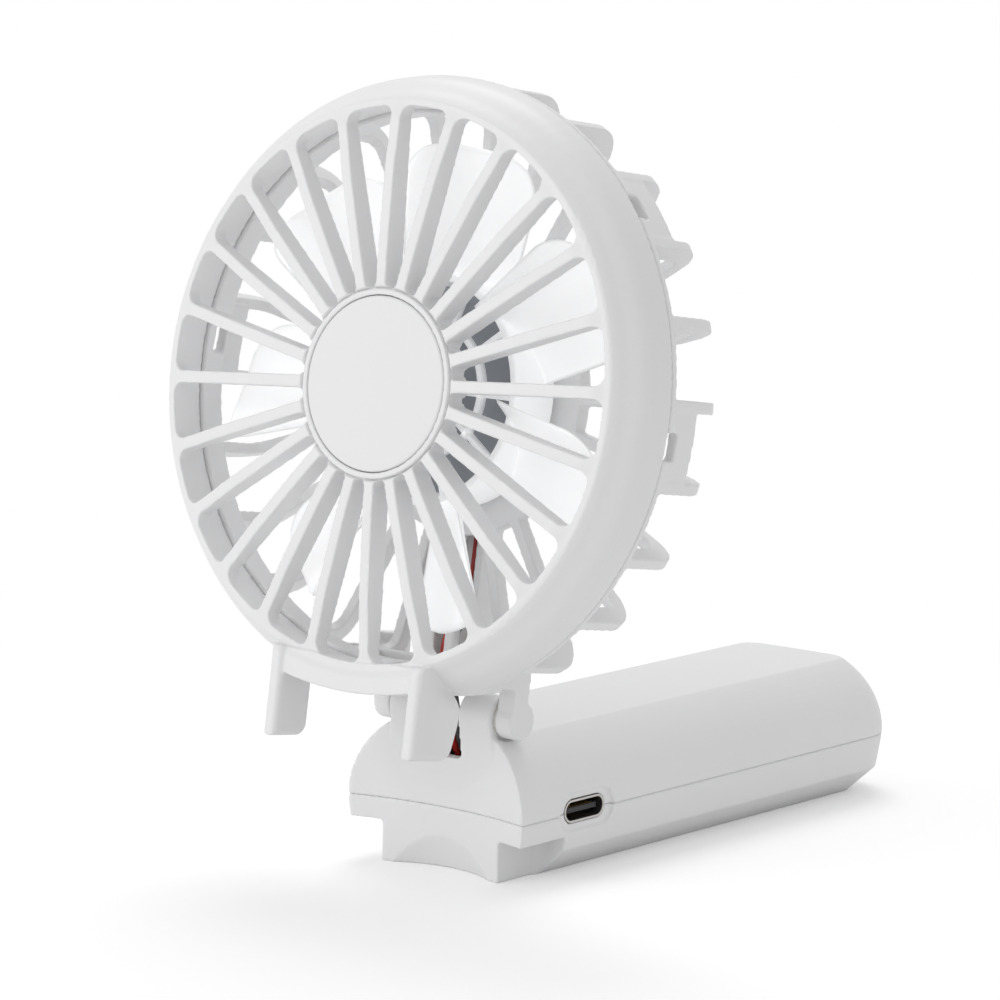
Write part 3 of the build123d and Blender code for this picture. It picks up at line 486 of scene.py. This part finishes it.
def make_contacts():
    """Contact strips on both faces of the port's tongue."""
    bm = bmesh.new()
    inner, outer = CONTACT_SPAN
    for side in (-1, 1):
        for index in range(CONTACTS):
            y = HANDLE_FRONT + PORT_BACK + (index - (CONTACTS - 1) / 2) * CONTACT_PITCH
            z = PORT_HEIGHT + side * TONGUE_HALF
            low, high = y - CONTACT_HALF_WIDTH, y + CONTACT_HALF_WIDTH
            corners = ((inner, low), (outer, low), (outer, high), (inner, high))
            strip = rounded([(*corner, CONTACT_CORNER) for corner in corners], 2)
            prism(bm, strip, z - CONTACT_HALF_THICKNESS, z + CONTACT_HALF_THICKNESS)
    return from_bmesh("port_contacts", bm, smooth=False)


def make_mouldings():
    coarse = 1.0
    table = (  # node, body, voxel, rounds of smoothing, corrections
        ("front_guard", "head", 0.2 * coarse, 7, (dome_front,)),
        ("rear_guard", "head", 0.25 * coarse, 5, ()),
        ("upper_shell", "handle", 0.25 * coarse, 2, (round_end,)),
        ("lower_shell", "handle", 0.25 * coarse, 2, (round_end, close_seam)),
        ("power_button", "button", 0.15, 3, ()),
    )
    for node, body, voxel, rounds, corrections in table:
        piece = moulded(node + "_moulding", node, voxel, rounds)
        for correct in corrections:
            correct(piece.data)
        dress(piece, WHITE, body, "white_shell", node)


def build():
    dress(make_cap(), CAP, "head", "white_shell", "front_cap")
    dress(make_impeller(), PETAL, "rotor", "blade_plastic", "impeller")
    make_mouldings()
    make_leads()
    dress(make_contacts(), GOLD, "handle", "steel")
    for name, mat in AS_BUILT.items():
        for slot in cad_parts[name].material_slots:
            slot.material = mat


# ---------------------------------------------------------------- camera, light and ground

def place_camera():
    turn, roll = 0.6807826, 0.0169032
    place = Vector((408.67, -538.18, 151.73))
    ahead = -Vector((0.6220, -0.7680, 0.1523)).normalized()
    right = Vector((cos(turn), sin(turn), 0))
    up = right.cross(ahead).normalized()
    right = ahead.cross(up)
    side = cos(roll) * right + sin(roll) * up
    top = cos(roll) * up - sin(roll) * right
    data = bpy.data.cameras.new("camera")
    data.lens = 167.47
    data.sensor_width = 36
    data.clip_start = 0.01
    data.dof.use_dof = False
    camera = add_object("camera", data)
    rotation = Matrix((side, top, -ahead)).transposed().to_4x4()
    camera.matrix_world = Matrix.Translation(place * MM) @ rotation
    bpy.context.scene.camera = camera


def area_light(name, place, target, size, power):
    data = bpy.data.lights.new(name, "AREA")
    data.shape = "DISK"
    data.size = size
    data.energy = power
    lamp = add_object(name, data)
    lamp.location = place
    lamp.rotation_euler = (Vector(target) - Vector(place)).to_track_quat("-Z", "Y").to_euler()


def make_ground():
    """Pale floor that keeps the shadow near the object and is plain white further out."""
    glow_strength, fade_start, fade_end = 0.18, 0.07, 0.17
    bm = bmesh.new()
    bmesh.ops.create_grid(bm, x_segments=40, y_segments=40, size=2.0)
    floor = from_bmesh("floor", bm, Matrix())
    mat = bpy.data.materials.new("pale_floor")
    mat.use_nodes = True
    nodes, links = mat.node_tree.nodes, mat.node_tree.links
    shader = nodes["Principled BSDF"]
    shader.inputs["Base Color"].default_value = (0.9, 0.9, 0.9, 1)
    shader.inputs["Roughness"].default_value = 0.8
    shader.inputs["Specular IOR Level"].default_value = 0.1
    seen = nodes.new("ShaderNodeLightPath")
    lift = nodes.new("ShaderNodeMath")
    lift.operation = "MULTIPLY"
    lift.inputs[1].default_value = glow_strength
    links.new(seen.outputs["Is Camera Ray"], lift.inputs[0])
    glow = nodes.new("ShaderNodeEmission")
    links.new(lift.outputs[0], glow.inputs["Strength"])
    near = nodes.new("ShaderNodeAddShader")
    links.new(shader.outputs[0], near.inputs[0])
    links.new(glow.outputs[0], near.inputs[1])
    place = nodes.new("ShaderNodeTexCoord")
    reach = nodes.new("ShaderNodeVectorMath")
    reach.operation = "LENGTH"
    links.new(place.outputs["Object"], reach.inputs[0])
    fade = nodes.new("ShaderNodeMapRange")
    fade.interpolation_type = "SMOOTHSTEP"
    fade.inputs["From Min"].default_value = fade_start
    fade.inputs["From Max"].default_value = fade_end
    links.new(reach.outputs["Value"], fade.inputs["Value"])
    only = nodes.new("ShaderNodeMath")
    only.operation = "MULTIPLY"
    links.new(fade.outputs["Result"], only.inputs[0])
    links.new(seen.outputs["Is Camera Ray"], only.inputs[1])
    white = nodes.new("ShaderNodeEmission")
    blend = nodes.new("ShaderNodeMixShader")
    links.new(only.outputs[0], blend.inputs[0])
    links.new(near.outputs[0], blend.inputs[1])
    links.new(white.outputs[0], blend.inputs[2])
    links.new(blend.outputs[0], nodes["Material Output"].inputs["Surface"])
    floor.data.materials.append(mat)


def make_world():
    """White surroundings, at full strength for the camera and weaker for the light they give."""
    ambient, shown = 0.7, 1.0
    world = bpy.data.worlds.new("studio")
    bpy.context.scene.world = world
    world.use_nodes = True
    nodes, links = world.node_tree.nodes, world.node_tree.links
    back = nodes["Background"]
    back.inputs["Color"].default_value = (1, 1, 1, 1)
    seen = nodes.new("ShaderNodeLightPath")
    rays = nodes.new("ShaderNodeMath")
    rays.operation = "MAXIMUM"
    links.new(seen.outputs["Is Camera Ray"], rays.inputs[0])
    links.new(seen.outputs["Is Transmission Ray"], rays.inputs[1])
    level = nodes.new("ShaderNodeMapRange")
    level.inputs["To Min"].default_value = ambient
    level.inputs["To Max"].default_value = shown
    links.new(rays.outputs[0], level.inputs["Value"])
    links.new(level.outputs["Result"], back.inputs["Strength"])


place_camera()
build()
make_ground()
make_world()
area_light("key", (-0.45, -0.95, 0.35), (0, -0.03, 0.06), size=0.7, power=3.1)
area_light("top", (-0.3, 0.35, 0.8), (0, 0, 0.05), size=0.5, power=2.2)
bpy.context.scene.view_settings.view_transform = "Standard"
